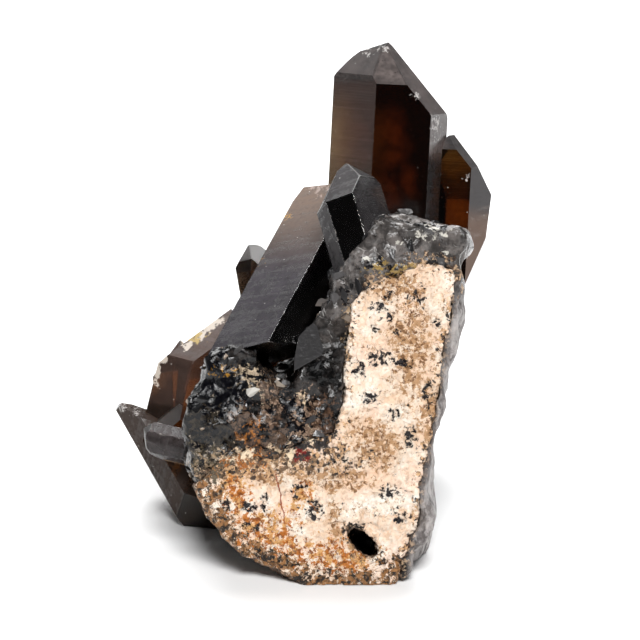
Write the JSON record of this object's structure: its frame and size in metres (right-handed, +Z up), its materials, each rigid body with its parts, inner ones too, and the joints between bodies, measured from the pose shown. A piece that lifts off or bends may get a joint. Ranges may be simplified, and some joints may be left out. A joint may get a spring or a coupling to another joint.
{
  "type": "morion quartz cluster",
  "caption": "Hand-sized mineral specimen: black-brown smoky quartz crystals that stand and lean on a broken lump of grey quartz faced with cream feldspar.",
  "frame": {"origin": "middle of the bounding box's underside, on the surface that the specimen rests on", "axes": "+Z up; the cream feldspar face looks towards -Y and leans back; +X is the viewer's right"},
  "size_m": [0.0674, 0.0734, 0.077],
  "materials": {
    "feldspar_matrix": "pale cream, dull and grainy, with pits, rust-coloured stains and black specks",
    "quartz_base": "grey to black massive quartz with glassy shell-like breaks",
    "main_crystals": "smoky brown-black, glassy prism faces, dull end faces",
    "front_crystal": "nearly black, glassy, with fine cross striations",
    "diagonal_crystal": "smoky grey-brown, satin prism face",
    "narrow_crystal": "smoky grey-brown, glassy",
    "left_crystals": "smoky brown, glassy, pale at the rim",
    "stub_crystal": "grey-black, glassy, chipped edges",
    "back_high_crystal": "smoky brown-black, glassy",
    "back_right_crystal": "smoky brown-black, glassy",
    "back_small_crystal": "smoky brown-black, glassy"
  },
  "bodies": {
    "root": {"feldspar_matrix": "feldspar_matrix", "quartz_base": "quartz_base", "main_crystals": "main_crystals", "front_crystal": "front_crystal", "diagonal_crystal": "diagonal_crystal", "narrow_crystal": "narrow_crystal", "left_crystals": "left_crystals", "stub_crystal": "stub_crystal", "back_high_crystal": "back_high_crystal", "back_right_crystal": "back_right_crystal", "back_small_crystal": "back_small_crystal"}
  },
  "joints": []
}
